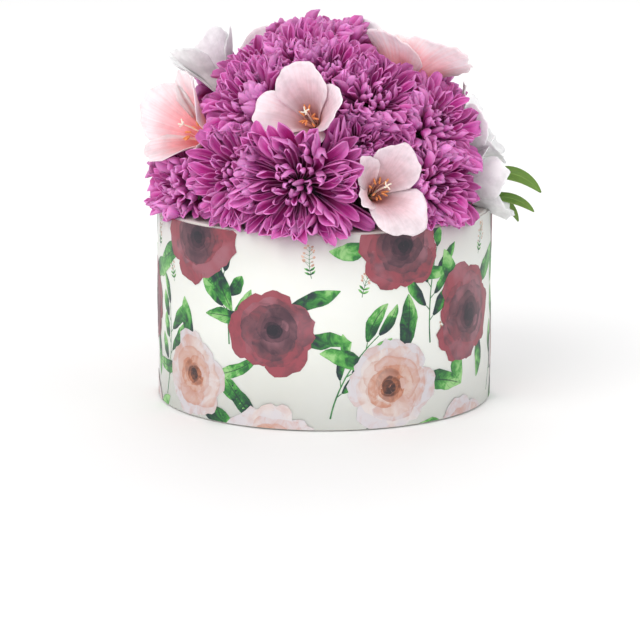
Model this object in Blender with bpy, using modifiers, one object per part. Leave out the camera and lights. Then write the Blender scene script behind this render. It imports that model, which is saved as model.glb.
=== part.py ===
"""Round iced cake wrapped in a floral print, with a dome of fresh flower heads on top.

Metres, +Z up. The origin is the middle of the flat underside. Front is -Y, and azimuths run
from the front towards +X.
"""

import bmesh
import bpy
import math
import random

from mathutils import Matrix, Vector

CAKE_RADIUS = 0.0831
CAKE_HEIGHT = 0.0972
CAKE_TOP_BEVEL = 0.0012
CAKE_SEGMENTS = 64
WRAP_RADIUS = 0.0840
WRAP_THICKNESS = 0.0006
WRAP_BOTTOM = 0.0005
WRAP_TOP = 0.0964
PAD_RADIUS = 0.060
PAD_HEIGHT = 0.0655
GAP = 0.0003
RIM_CLEAR = WRAP_RADIUS + 0.0040
HEAD_ROOT = 0.008
HEAD_FLOOR = CAKE_HEIGHT + 0.0006
LEAF_SPACE = 0.0020
MUM_REACH = 0.031
CUP_WALL = 0.0014
LEAF_THICKNESS = 0.0010
LEAF_LEVEL = CAKE_HEIGHT + 0.0014

# Each flower head: its kind, its azimuth and elevation on the dome in degrees, its size, and
# how far it stands out beyond the others.
HEADS = [
    ("mum", -9, 17, 1.28, 0),
    ("mum", -33, 18, 1.05, 0),
    ("mum", -68, 9, 0.95, 0),
    ("mum", -35, 43, 1.05, 0),
    ("mum", -54, 58, 0.90, 0),
    ("mum", -24, 69, 0.95, 0),
    ("mum", 5, 59, 0.95, 0),
    ("mum", 170, 86, 0.90, 0),
    ("mum", 25, 45, 1.05, 0),
    ("mum", 52, 32, 1.10, 0),
    ("mum", 43, 13, 1.05, 0),
    ("mum", 14, 29, 0.75, 0),
    ("mum", 122, 12, 1.05, 0),
    ("mum", -178, 11, 1.05, 0),
    ("mum", -147, 13, 1.05, 0),
    ("mum", -110, 13, 1.05, 0),
    ("mum", 124, 39, 1.05, 0),
    ("mum", 159, 44, 1.05, 0),
    ("mum", -130, 37, 1.05, 0),
    ("mum", -158, 66, 0.95, 0),
    ("blush", -6, 40, 0.90, 0.002),
    ("blush", 20, 12, 0.88, 0.003),
    ("blush", 151, 14, 1.00, 0.002),
    ("blush", -162, 40, 1.00, 0.002),
    ("coral", -72, 29, 1.00, 0.001),
    ("coral", 75, 56, 1.10, 0.002),
    ("white", -101, 47, 0.78, 0.009),
    ("white", 126, 64, 0.70, 0),
    ("white", 89, 26, 0.86, 0.001),
    ("white", 84, 8, 0.90, 0),
]

# How a cup's axis turns from straight out of the dome, as a vector added to it.
CUP_TURNS = {
    "blush_flower_01": (-0.22, -0.05, -0.14),
    "blush_flower_02": (0.0, 0.0, 0.20),
    "coral_flower_01": (0.0, -0.25, 0.05),
    "coral_flower_02": (-0.12, 0.45, -0.02),
    "white_flower_01": (0.0, -0.10, 0.35),
}

# Which head spreads over its neighbours: 0 for a plain many-petalled one, 1 for a plain cup.
SPREAD = {"mum_01": 1.2, "blush_flower_02": 1.4}

# Each leaf: azimuth in degrees, radius where it starts and ends, half width, tip height, and how
# far its blade turns on edge past the cake's rim, in degrees.
LEAVES = [
    (79, 0.066, 0.109, 0.0046, 0.0040, 38),
    (90, 0.066, 0.105, 0.0040, -0.0070, 42),
    (101, 0.066, 0.100, 0.0034, -0.0110, 42),
    (137, 0.066, 0.104, 0.0044, -0.0050, 25),
    (-163, 0.066, 0.106, 0.0046, 0.0030, 15),
    (-130, 0.066, 0.103, 0.0040, -0.0080, -25),
]

COLOURS = {
    "icing": ((0.87, 0.84, 0.76), 0.45),
    "print": ((0.80, 0.66, 0.62), 0.45),
    "pad": ((0.05, 0.09, 0.03), 0.80),
    "mum": ((0.36, 0.075, 0.29), 0.60),
    "blush": ((0.80, 0.58, 0.62), 0.55),
    "coral": ((0.87, 0.36, 0.36), 0.55),
    "white": ((0.85, 0.84, 0.86), 0.55),
    "stamen": ((0.83, 0.36, 0.14), 0.60),
    "leaf": ((0.21, 0.36, 0.06), 0.50),
}

DOME_BASE = Vector((0, 0, CAKE_HEIGHT))


def clear_scene():
    for obj in list(bpy.data.objects):
        bpy.data.objects.remove(obj, do_unlink=True)


def new_collection(name):
    made = bpy.data.collections.new(name)
    bpy.context.scene.collection.children.link(made)
    return made


def material(kind):
    name = "floral_cake_" + kind
    if name in bpy.data.materials:
        return bpy.data.materials[name]
    made = bpy.data.materials.new(name)
    made.use_nodes = True
    surface = made.node_tree.nodes["Principled BSDF"]
    colour, roughness = COLOURS[kind]
    surface.inputs["Base Color"].default_value = (*colour, 1)
    surface.inputs["Roughness"].default_value = roughness
    surface.inputs["Metallic"].default_value = 0
    made.diffuse_color = (*colour, 1)
    return made


def add_object(name, bm, kind, smooth=True):
    mesh = bpy.data.meshes.new(name)
    for face in bm.faces:
        face.smooth = smooth
    bm.to_mesh(mesh)
    bm.free()
    mesh.materials.append(material(kind))
    obj = bpy.data.objects.new(name, mesh)
    PARTS.objects.link(obj)
    return obj


def add_cake():
    bm = bmesh.new()
    bmesh.ops.create_cone(
        bm,
        cap_ends=True,
        segments=CAKE_SEGMENTS,
        radius1=CAKE_RADIUS,
        radius2=CAKE_RADIUS,
        depth=CAKE_HEIGHT,
        matrix=Matrix.Translation((0, 0, CAKE_HEIGHT / 2)),
    )
    top = [e for e in bm.edges if all(v.co.z > CAKE_HEIGHT - 1e-6 for v in e.verts)]
    bmesh.ops.bevel(
        bm,
        geom=top,
        offset=CAKE_TOP_BEVEL,
        segments=2,
        profile=0.5,
        affect="EDGES",
        material=-1,
    )
    bmesh.ops.recalc_face_normals(bm, faces=bm.faces)
    obj = add_object("cake", bm, "icing")
    obj.data.set_sharp_from_angle(angle=math.radians(40))


def add_wrap():
    """Thin printed sleeve round the side of the cake."""
    bm = bmesh.new()
    bmesh.ops.create_cone(
        bm,
        cap_ends=False,
        segments=CAKE_SEGMENTS,
        radius1=WRAP_RADIUS,
        radius2=WRAP_RADIUS,
        depth=WRAP_TOP - WRAP_BOTTOM,
        matrix=Matrix.Translation((0, 0, (WRAP_TOP + WRAP_BOTTOM) / 2)),
    )
    obj = add_object("printed_wrap", bm, "print")
    wall = obj.modifiers.new("wall", "SOLIDIFY")
    wall.thickness = WRAP_THICKNESS
    wall.offset = -1
    wall.use_even_offset = True
    obj.data.set_sharp_from_angle(angle=math.radians(40))


def add_pad():
    """Rounded mound that the flower heads stand on."""
    bm = bmesh.new()
    bmesh.ops.create_uvsphere(bm, u_segments=20, v_segments=10, radius=1)
    bmesh.ops.bisect_plane(
        bm,
        geom=bm.verts[:] + bm.edges[:] + bm.faces[:],
        plane_co=(0, 0, 0),
        plane_no=(0, 0, 1),
        clear_inner=True,
    )
    rim = [e for e in bm.edges if e.is_boundary]
    bmesh.ops.holes_fill(bm, edges=rim)
    base = CAKE_HEIGHT + GAP
    scale = Matrix.Diagonal((PAD_RADIUS, PAD_RADIUS, PAD_HEIGHT - GAP, 1))
    bmesh.ops.transform(bm, matrix=Matrix.Translation((0, 0, base)) @ scale, verts=bm.verts)
    bmesh.ops.recalc_face_normals(bm, faces=bm.faces)
    add_object("flower_pad", bm, "pad")


def dome_point(azimuth, elevation, grow):
    """Point on the mound's surface grown outwards, and the outward direction there."""
    a = math.radians(azimuth)
    e = math.radians(elevation)
    unit = Vector((math.cos(e) * math.sin(a), -math.cos(e) * math.cos(a), math.sin(e)))
    wide = PAD_RADIUS + grow
    tall = PAD_HEIGHT + grow
    point = DOME_BASE + Vector((unit.x * wide, unit.y * wide, unit.z * tall))
    outward = Vector((unit.x / wide, unit.y / wide, unit.z / tall)).normalized()
    return point, outward


def head_names():
    """Name of each head, numbered within its kind."""
    names = []
    count = {}
    for kind, *_ in HEADS:
        count[kind] = count.get(kind, 0) + 1
        stem = kind if kind == "mum" else kind + "_flower"
        names.append(f"{stem}_{count[kind]:02d}")
    return names


def spread(name):
    return SPREAD.get(name, 0.0 if name.startswith("mum") else 1.0)


def cell_planes(index, names, centres, outwards):
    """Planes (normal, distance) that shut in one head: the mound, the cake and its neighbours."""
    centre = centres[index]
    outward = outwards[index]
    foot, _ = dome_point(HEADS[index][1], HEADS[index][2], 0)
    planes = [(-outward, -outward.dot(foot) - GAP)]
    near_leaf = any(abs(math.remainder(HEADS[index][1] - leaf[0], 360)) < 28 for leaf in LEAVES)
    planes.append((Vector((0, 0, -1)), -HEAD_FLOOR - LEAF_SPACE * near_leaf))
    for other, place in enumerate(centres):
        away = place - centre
        if other == index or away.length > 0.095:
            continue
        normal = away.normalized()
        share = HEADS[index][3] / (HEADS[index][3] + HEADS[other][3])
        lean = 0.30 * (spread(names[other]) - spread(names[index]))
        mean = (outward + outwards[other]).normalized()
        middle = centre + away * share
        tilted = (normal + mean * lean).normalized()
        planes.append((tilted, tilted.dot(middle) - 0.0002))
    return planes


def held(point, centre, planes, margin, hangs=False):
    """The point drawn smoothly towards the head's centre, so that it stays inside its cell.

    A petal's tip that hangs may pass below the cake's top, outside its edge.
    """
    ray = point - centre
    reach = ray.length
    if reach < 1e-7:
        return point
    way = ray / reach
    most = 1.0
    for normal, distance in planes:
        rate = normal.dot(way)
        if rate > 1e-6:
            limit = (distance - margin - normal.dot(centre)) / rate
            crossing = centre + way * limit
            if hangs and normal.z == -1 and math.hypot(crossing.x, crossing.y) > RIM_CLEAR:
                continue
            most = min(most, limit)
    full = 0.78 * most
    if reach > full:
        spare = most - full
        reach = full + spare * (1 - math.exp(-(reach - full) / spare))
    return centre + way * reach


def head_matrix(centre, axis, roll):
    turn = axis.to_track_quat("Z", "Y").to_matrix().to_4x4()
    return Matrix.Translation(centre) @ turn @ Matrix.Rotation(roll, 4, "Z")


def add_mum(name, centre, outward, planes, size, low, rng):
    """Round head of many pointed petals, raised from the faces of a ball."""
    bm = bmesh.new()
    bmesh.ops.create_icosphere(bm, subdivisions=2, radius=1)
    bmesh.ops.rotate(bm, verts=bm.verts, matrix=Matrix.Rotation(rng.uniform(0, 3), 3, "X"))
    lowest = -0.30 if low else 0.02
    petals = [f for f in bm.faces if f.calc_center_median().normalized().z > lowest]
    ring = bmesh.ops.extrude_discrete_faces(bm, faces=petals)["faces"]
    level = {v: 0 for v in bm.verts}
    for face in ring:
        middle = face.calc_center_median()
        for vert in face.verts:
            level[vert] = 1
            vert.co = middle.lerp(vert.co, 0.70)
    tips = bmesh.ops.poke(bm, faces=ring)["verts"]
    for vert in tips:
        level[vert] = 2
    bmesh.ops.triangulate(bm, faces=bm.faces)
    place = head_matrix(centre, outward, rng.uniform(0, 6.28))
    for vert in bm.verts:
        way = vert.co.normalized()
        tilt = math.acos(max(-1.0, min(1.0, way.z)))
        open_up = min(1.0, max(0.0, tilt / 1.0))
        reach = MUM_REACH * size * (0.66 + 0.34 * open_up * open_up * (3 - 2 * open_up))
        if tilt > 1.9:
            reach *= 0.86
        rank = level.get(vert, 0)
        factor = (0.50, 0.78, rng.uniform(0.94, 1.06))[rank]
        vert.co = held(place @ (way * reach * factor), centre, planes, 0, hangs=rank == 2)
    add_object(name, bm, "mum", smooth=False)


# Radius and height in millimetres of each ring of a cup, from its foot to its rim.
CUP_PROFILE = [(0, -5.2), (4.6, -4.2), (8.0, 4.0), (13.5, 11.5), (20.5, 18.5), (25.5, 24.0)]


def add_cup(name, kind, centre, axis, planes, size, lift, rng):
    """Cup of broad lobed petals, as one thin shell with a closed foot."""
    around = 16
    lobes = 5 if kind == "white" else 4
    bm = bmesh.new()
    bmesh.ops.create_uvsphere(bm, u_segments=around, v_segments=10, radius=1)
    bmesh.ops.delete(bm, geom=[v for v in bm.verts if v.co.z > 1e-4], context="VERTS")
    place = head_matrix(centre, axis, rng.uniform(0, 6.28))
    for vert in bm.verts:
        depth = math.asin(max(-1.0, min(1.0, vert.co.z)))
        step = int(round((depth + math.pi / 2) / (math.pi / 10)))
        angle = math.atan2(vert.co.y, vert.co.x)
        radius, height = CUP_PROFILE[step]
        wave = math.cos(lobes * angle) * step / 5
        radius *= size * (1 + 0.13 * wave)
        height -= 1000 * lift * (step < 2)
        height += 2.4 * wave * (step > 2) + rng.uniform(-0.4, 0.4) * (step > 3)
        local = Vector((radius * math.cos(angle), radius * math.sin(angle), height)) / 1000
        vert.co = held(place @ local, centre, planes, CUP_WALL * 0.72)
    obj = add_object(name, bm, kind)
    wall = obj.modifiers.new("wall", "SOLIDIFY")
    wall.thickness = CUP_WALL
    wall.offset = 0
    split = obj.modifiers.new("split", "TRIANGULATE")
    split.quad_method = "SHORTEST_DIAGONAL"


def add_stamens(name, centre, axis, size):
    """Tapered cluster that stands in the middle of a cup."""
    bm = bmesh.new()
    foot = -0.0028
    tip = 0.0135 * size
    bmesh.ops.create_cone(
        bm,
        cap_ends=True,
        cap_tris=False,
        segments=8,
        radius1=0.0020,
        radius2=0.0014,
        depth=tip - foot,
        matrix=head_matrix(centre, axis, 0) @ Matrix.Translation((0, 0, (tip + foot) / 2)),
    )
    bmesh.ops.recalc_face_normals(bm, faces=bm.faces)
    add_object(name, bm, "stamen")


def add_leaf(name, azimuth, start, end, half_width, tip, roll):
    """Pointed wavy leaf that lies on the cake's top, then turns on edge past the cake's rim."""
    bm = bmesh.new()
    bmesh.ops.create_grid(bm, x_segments=9, y_segments=2, size=1)
    turn = Matrix.Rotation(math.radians(azimuth - 90), 4, "Z")
    for vert in bm.verts:
        along = (vert.co.x + 1) / 2
        across = vert.co.y
        radius = start + (end - start) * along
        out = max(0.0, (radius - 0.093) / (end - 0.093))
        swell = math.sin(math.pi * min(1.0, 0.12 + 0.88 * along ** 1.1)) ** 0.8
        offset = half_width * max(0.12, swell) * across
        slope = math.radians(roll) * min(1.0, 2.2 * out)
        arch = tip * out ** 1.3 + 0.0006 * out * math.sin(9 * along) * across
        height = LEAF_LEVEL + arch + 0.0008 * out * across * across + offset * math.sin(slope)
        vert.co = turn @ Vector((radius, offset * math.cos(slope), height))
    obj = add_object(name, bm, "leaf")
    wall = obj.modifiers.new("wall", "SOLIDIFY")
    wall.thickness = LEAF_THICKNESS
    wall.offset = 0
    split = obj.modifiers.new("split", "TRIANGULATE")
    split.quad_method = "FIXED"


def add_heads():
    places = [dome_point(head[1], head[2], HEAD_ROOT + head[4]) for head in HEADS]
    centres = [place[0] for place in places]
    outwards = [place[1] for place in places]
    names = head_names()
    for index, (kind, _, elevation, size, lift) in enumerate(HEADS):
        rng = random.Random(100 + index)
        name = names[index]
        centre = centres[index]
        planes = cell_planes(index, names, centres, outwards)
        if kind == "mum":
            add_mum(name, centre, outwards[index], planes, size, elevation < 25, rng)
            continue
        axis = (outwards[index] + Vector(CUP_TURNS.get(name, (0, 0, 0)))).normalized()
        add_cup(name, kind, centre, axis, planes, size, lift, rng)
        if kind != "white":
            add_stamens(name.replace("flower", "stamens"), centre, axis, size)


clear_scene()
PARTS = new_collection("floral_cake")
add_cake()
add_wrap()
add_pad()
add_heads()
for leaf_number, leaf in enumerate(LEAVES, start=1):
    add_leaf(f"leaf_{leaf_number:02d}", *leaf)
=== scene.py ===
"""Looks of the floral cake: petals, stamens, leaves, printed sleeve, icing, stage and camera.

Metres, +Z up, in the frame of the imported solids. Front is -Y.
"""

import math
import random

import bmesh
import bpy
from bpy.props import FloatProperty, FloatVectorProperty, IntProperty, PointerProperty
from mathutils import Matrix, Vector, noise
from mathutils.bvhtree import BVHTree


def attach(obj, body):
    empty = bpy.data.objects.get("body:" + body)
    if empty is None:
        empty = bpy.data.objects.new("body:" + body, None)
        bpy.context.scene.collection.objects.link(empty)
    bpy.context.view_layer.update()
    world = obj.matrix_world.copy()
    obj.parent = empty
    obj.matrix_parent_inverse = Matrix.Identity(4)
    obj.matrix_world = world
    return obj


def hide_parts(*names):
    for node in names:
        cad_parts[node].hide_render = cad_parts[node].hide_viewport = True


bl_info = {
    "name": "Floral cake looks",
    "version": (1, 0, 0),
    "blender": (4, 5, 0),
    "location": "3D View > Sidebar > Floral cake",
    "description": "Builds the looks of a floral cake around its solids",
    "category": "Object",
}

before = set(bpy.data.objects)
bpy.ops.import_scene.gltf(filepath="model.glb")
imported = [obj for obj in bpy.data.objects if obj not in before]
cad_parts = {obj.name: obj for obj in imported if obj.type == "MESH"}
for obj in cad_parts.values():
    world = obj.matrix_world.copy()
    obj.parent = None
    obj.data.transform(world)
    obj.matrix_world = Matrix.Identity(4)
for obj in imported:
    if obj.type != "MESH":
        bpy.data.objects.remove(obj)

MM = 0.001
CAKE_HEIGHT = 0.0972
WRAP_RADIUS = 0.0840
WRAP_THICKNESS = 0.0006
WRAP_BOTTOM = 0.0005
WRAP_TOP = 0.0964
PAD_RADIUS = 0.060
PAD_HEIGHT = 0.0655
DOME_BASE = Vector((0, 0, CAKE_HEIGHT))
# How far a head's middle stands off the mound, how far its petals' feet may sink towards it, and
# how far petals keep off the cake's side and off its top.
HEAD_ROOT = 0.008
FOOT_SINK = 0.001
RIM_CLEAR = 0.0012
TOP_CLEAR = 0.0008
LEAF_THICKNESS = 0.0005

# A mum: how far its petals may reach past the plane to a neighbour, how near a neighbour and a
# cup have to be to count, how far it keeps off a cup's petals, and its petals' thickness.
MINGLE = 0.0040
MUM_NEAR = 0.095
CUP_NEAR = 0.080
CUP_CLEAR = 0.0014
MUM_THICKNESS = 0.00028
GOLDEN_ANGLE = 2.39996
# How often a petal that doesn't fit is pulled in, and how much its rows crowd to its round tip.
TRIES = 14
TIP_CROWD = 1.35

# A cup at size 1 in millimetres: how deep its foot is, its depth, how wide it opens past its
# throat, the throat's radius, what no cup reaches past, and its calyx.
CUP_FOOT = 5.0
CUP_DEPTH = 31.0
CUP_RADIUS = 24.0
CUP_THROAT = 2.2
CUP_WIDEST = 30.0
CUP_TALLEST = 36.0
CALYX_LENGTH = 8.0
# How a petal's height grows from its foot to its rim.
CUP_RISE = 0.86
STAMEN_FOOT = Vector((0, 0, -3.2))

# The flower heads, as in the solids: node, azimuth, elevation, size and how far each stands out.
HEADS = [
    ("mum_01", -9, 17, 1.28, 0),
    ("mum_02", -33, 18, 1.05, 0),
    ("mum_03", -68, 9, 0.95, 0),
    ("mum_04", -35, 43, 1.05, 0),
    ("mum_05", -54, 58, 0.90, 0),
    ("mum_06", -24, 69, 0.95, 0),
    ("mum_07", 5, 59, 0.95, 0),
    ("mum_08", 170, 86, 0.90, 0),
    ("mum_09", 25, 45, 1.05, 0),
    ("mum_10", 52, 32, 1.10, 0),
    ("mum_11", 43, 13, 1.05, 0),
    ("mum_12", 14, 29, 0.75, 0),
    ("mum_13", 122, 12, 1.05, 0),
    ("mum_14", -178, 11, 1.05, 0),
    ("mum_15", -147, 13, 1.05, 0),
    ("mum_16", -110, 13, 1.05, 0),
    ("mum_17", 124, 39, 1.05, 0),
    ("mum_18", 159, 44, 1.05, 0),
    ("mum_19", -130, 37, 1.05, 0),
    ("mum_20", -158, 66, 0.95, 0),
    ("blush_flower_01", -6, 40, 0.90, 0.002),
    ("blush_flower_02", 20, 12, 0.88, 0.003),
    ("blush_flower_03", 151, 14, 1.00, 0.002),
    ("blush_flower_04", -162, 40, 1.00, 0.002),
    ("coral_flower_01", -72, 29, 1.00, 0.001),
    ("coral_flower_02", 75, 56, 1.10, 0.002),
    ("white_flower_01", -101, 47, 0.78, 0.009),
    ("white_flower_02", 126, 64, 0.70, 0),
    ("white_flower_03", 89, 26, 0.86, 0.001),
    ("white_flower_04", 84, 8, 0.90, 0),
]

# How a head's axis turns from straight out of the dome, as a vector added to it.
TURNS = {
    "mum_01": (-0.10, 0.0, -0.20),
    "blush_flower_01": (-0.22, -0.05, -0.14),
    "blush_flower_02": (0.0, 0.0, 0.20),
    "coral_flower_01": (0.0, -0.25, 0.05),
    "coral_flower_02": (-0.12, 0.45, -0.02),
    "white_flower_01": (0.0, -0.02, 0.52),
}

# How far a mum spreads over its neighbours. A plain one has 0.
SPREAD = {"mum_01": 1.2}
SPREAD_LEAN = 0.30

# Petals of the cups in front: the side each grows on in degrees, its half width, its length,
# how far it opens, and how its rim curls out. Back petals come first.
CUP_PETALS = {
    "blush_flower_01": [
        (94, 66, 1.14, 0.88, 0.4), (184, 52, 0.96, 0.92, 2.0), (4, 56, 1.14, 0.96, -0.6),
        (278, 50, 0.60, 0.74, 0.0),
    ],
    "blush_flower_02": [
        (52, 62, 1.05, 0.86, 0.6), (138, 44, 1.08, 0.72, 0.4), (204, 40, 0.92, 0.66, 0.0),
        (290, 66, 1.10, 0.98, 4.5),
    ],
    "coral_flower_01": [
        (75, 64, 1.10, 0.92, 0.0), (165, 62, 1.08, 0.98, 1.0), (258, 52, 0.98, 0.84, 0.0),
        (345, 48, 0.60, 0.62, 0.0),
    ],
    "coral_flower_02": [
        (317, 58, 1.04, 0.90, 0.4), (352, 72, 0.84, 0.94, 0.6), (282, 76, 1.02, 1.00, 2.0),
        (96, 72, 0.60, 0.96, 1.0), (192, 78, 0.84, 1.00, 0.8),
    ],
    "white_flower_01": [
        (180, 66, 1.00, 0.86, 0.0), (262, 50, 1.04, 0.86, -1.0), (104, 50, 1.00, 0.84, -1.0),
        (38, 56, 1.18, 0.84, -1.6), (322, 56, 1.14, 0.82, -1.6),
    ],
}

# Each leaf: its node, azimuth, radius and height of its start, its middle and its tip in
# millimetres, its half width, and how far its blade turns on edge, in degrees.
LEAVES = [
    ("leaf_01", 91, (72, 106), (94, 120), (109.0, 102), 6.3, 66),
    ("leaf_02", 93, (72, 97), (94, 104), (106, 91.5), 4.6, 62),
    ("leaf_03", 98, (72, 99), (93, 102), (99.5, 85.0), 4.6, 62),
    ("leaf_04", 137, (68, 99), (92, 104), (104, 93), 4.4, 25),
    ("leaf_05", -163, (68, 99), (92, 104), (106, 100), 4.6, 15),
    ("leaf_06", -130, (68, 99), (92, 104), (103, 91), 4.0, -25),
]


# Shapes of the flower heads.


def dome_point(azimuth, elevation, grow):
    """Point on the mound's surface grown outwards, and the outward direction there."""
    a = math.radians(azimuth)
    e = math.radians(elevation)
    unit = Vector((math.cos(e) * math.sin(a), -math.cos(e) * math.cos(a), math.sin(e)))
    wide = PAD_RADIUS + grow
    tall = PAD_HEIGHT + grow
    point = DOME_BASE + Vector((unit.x * wide, unit.y * wide, unit.z * tall))
    outward = Vector((unit.x / wide, unit.y / wide, unit.z / tall)).normalized()
    return point, outward


def head_places():
    return {head[0]: dome_point(head[1], head[2], HEAD_ROOT + head[4]) for head in HEADS}


def cell_planes(name, size, places):
    """Planes (normal, distance) between a mum and its neighbours, whose petals mingle a little."""
    centre, outward = places[name]
    foot = centre - outward * HEAD_ROOT
    planes = [(-outward, -outward.dot(foot) + FOOT_SINK)]
    for other, _, _, other_size, _ in HEADS:
        place, facing = places[other]
        away = place - centre
        if other == name or not other.startswith("mum") or away.length > MUM_NEAR:
            continue
        lean = SPREAD_LEAN * (SPREAD.get(other, 0) - SPREAD.get(name, 0))
        mean = (outward + facing).normalized()
        tilted = (away.normalized() + mean * lean).normalized()
        middle = centre + away * (size / (size + other_size))
        planes.append((tilted, tilted.dot(middle) + MINGLE))
    return planes


def flare_of(name):
    """How a cup widens from its foot to its rim: below 1 for a bowl, above 1 for a trumpet."""
    return 0.74 if name.startswith("white") else 1.22


def inside_cup(point, cups):
    """Whether a point is within one of the cups."""
    for turned, size, petals, flare, _ in cups:
        local = turned @ point / (size * MM)
        across = math.hypot(local.x, local.y)
        if across > CUP_WIDEST or local.z < -CUP_FOOT or local.z > CUP_TALLEST:
            continue
        angle = math.degrees(math.atan2(local.y, local.x))
        _, _, long, wide, _ = min(
            petals, key=lambda petal: abs(math.remainder(angle - petal[0], 360)) / petal[1],
        )
        rise = ((local.z + CUP_FOOT) / (CUP_DEPTH * long)) ** (1 / CUP_RISE)
        if rise < 0.98 and across < CUP_THROAT + 0.2 + CUP_RADIUS * wide * rise ** flare:
            return True
    return False


def hits(first, last, cups):
    """Whether a straight run between two points goes through a petal of one of the cups."""
    run = last - first
    way = run.normalized()
    return any(shell.ray_cast(first, way, run.length)[0] is not None for *_, shell in cups)


def pierces(path, cups):
    """Whether a path of points touches a petal of one of the cups."""
    for spot in path[1:]:
        if any(shell.find_nearest(spot, CUP_CLEAR)[0] is not None for *_, shell in cups):
            return True
    return any(hits(first, last, cups) for first, last in zip(path, path[1:]))


def crosses(sheet, cups):
    """Whether an edge of a finished petal runs through a petal of one of the cups."""
    edges = {edge for vert, _, _ in sheet for edge in vert.link_edges}
    return any(hits(*(vert.co for vert in edge.verts), cups) for edge in edges)


def fits(point, planes, cups):
    """Whether a petal's point is inside its cell, out of the cups and clear of the cake."""
    across = math.hypot(point.x, point.y)
    if across < WRAP_RADIUS + RIM_CLEAR and point.z < CAKE_HEIGHT + TOP_CLEAR:
        return False
    if any(normal.dot(point) > distance for normal, distance in planes):
        return False
    return not inside_cup(point, cups)


def axes_of(centre, outward, roll):
    turn = outward.to_track_quat("Z", "Y").to_matrix().to_4x4()
    return Matrix.Translation(centre) @ turn @ Matrix.Rotation(roll, 4, "Z")


def head_axis(name, places):
    """Middle of a head and the axis it opens along."""
    centre, outward = places[name]
    return centre, (outward + Vector(TURNS.get(name, (0, 0, 0)))).normalized()


def smoothstep(value):
    value = max(0.0, min(1.0, value))
    return value * value * (3 - 2 * value)


def new_sheet(bm, along, across):
    """A fresh grid in bm as (vertex, u, v), u from 0 to 1 along it and v from -1 to 1 across."""
    verts = bmesh.ops.create_grid(bm, x_segments=along, y_segments=across, size=1)["verts"]
    return [(vert, (vert.co.x + 1) / 2, vert.co.y) for vert in verts]


def paint_sheet(bm, sheet, shade):
    """Stores each point's u and v, and the sheet's own shade, for the material."""
    paint = bm.loops.layers.uv.verify()
    tone = bm.verts.layers.float_vector["shade"]
    for vert, u, v in sheet:
        vert[tone] = shade
        for loop in vert.link_loops:
            loop[paint].uv = (u, v * 0.5 + 0.5)


def start_mesh():
    """An empty mesh that already has the layers for the paint, as adding one later drops faces."""
    bm = bmesh.new()
    bm.loops.layers.uv.new("petal")
    bm.verts.layers.float_vector.new("shade")
    return bm


def along_curve(line, u):
    """Point and heading at u from 0 to 1 on a curve (start, control, tip)."""
    start, control, tip = line
    point = start * (1 - u) ** 2 + control * 2 * u * (1 - u) + tip * u ** 2
    return point, ((control - start) * (1 - u) + (tip - control) * u).normalized()


def bend_petal(sheet, line, width, cup, blunt, ray, place, twist, sweep):
    """Lays a grid along a curve in the plane of the head's axis, hollowed like a spoon."""
    rise = Vector((0, 0, 1))
    side = rise.cross(ray)
    length = (line[2] - line[0]).length
    for vert, u, v in sheet:
        point, run = along_curve(line, u)
        facing = ray * -run.y + rise * run.x
        taper = max(0.0, 1 - u ** (2.9 + 2.7 * blunt)) ** (0.64 - 0.19 * blunt)
        shape = (u + 0.08) ** 0.62 * taper * 1.20 + 0.03
        half = width * shape
        deep = cup * half * (v * v + 0.35 * v ** 4) + 0.10 * half * math.cos(2.4 * math.pi * v)
        deep += 0.22 * half * math.sin(7 * u + 30 * twist) * u
        slope = twist * (0.3 + u)
        level = side * math.cos(slope) + facing * math.sin(slope)
        upright = facing * math.cos(slope) - side * math.sin(slope)
        bow = side * (sweep * length * u * u)
        flat = ray * point.x + rise * point.y + bow
        vert.co = place @ (flat + level * (half * v * (1 - 0.30 * cup * v * v)) + upright * deep)


def cups_near(name, places, shells):
    """Inverse frame, size, petals, flare and shell of each cup that a mum's petals could reach."""
    return [
        (cup_axes(cup, places).inverted(), size, petals_of(cup), flare_of(cup), shells[cup])
        for cup, _, _, size, _ in HEADS
        if cup in shells and (places[cup][0] - places[name][0]).length < CUP_NEAR
    ]


def petal_paths(line, ray, width, sweep, place):
    """Points along both edges of a petal and along its middle, which comes first."""
    rise = Vector((0, 0, 1))
    side = rise.cross(ray)
    bow = sweep * (line[2] - line[0]).length
    paths = []
    for across in (0, -0.9, 0.9):
        path = []
        for u, share in ((0.0, 0.2), (0.3, 0.9), (0.6, 1.0), (0.85, 0.7), (1.0, 0.0)):
            point, _ = along_curve(line, u)
            shift = side * (across * share * width + bow * u * u)
            path.append(place @ (ray * point.x + rise * point.y + shift))
        paths.append(path)
    return paths


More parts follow.
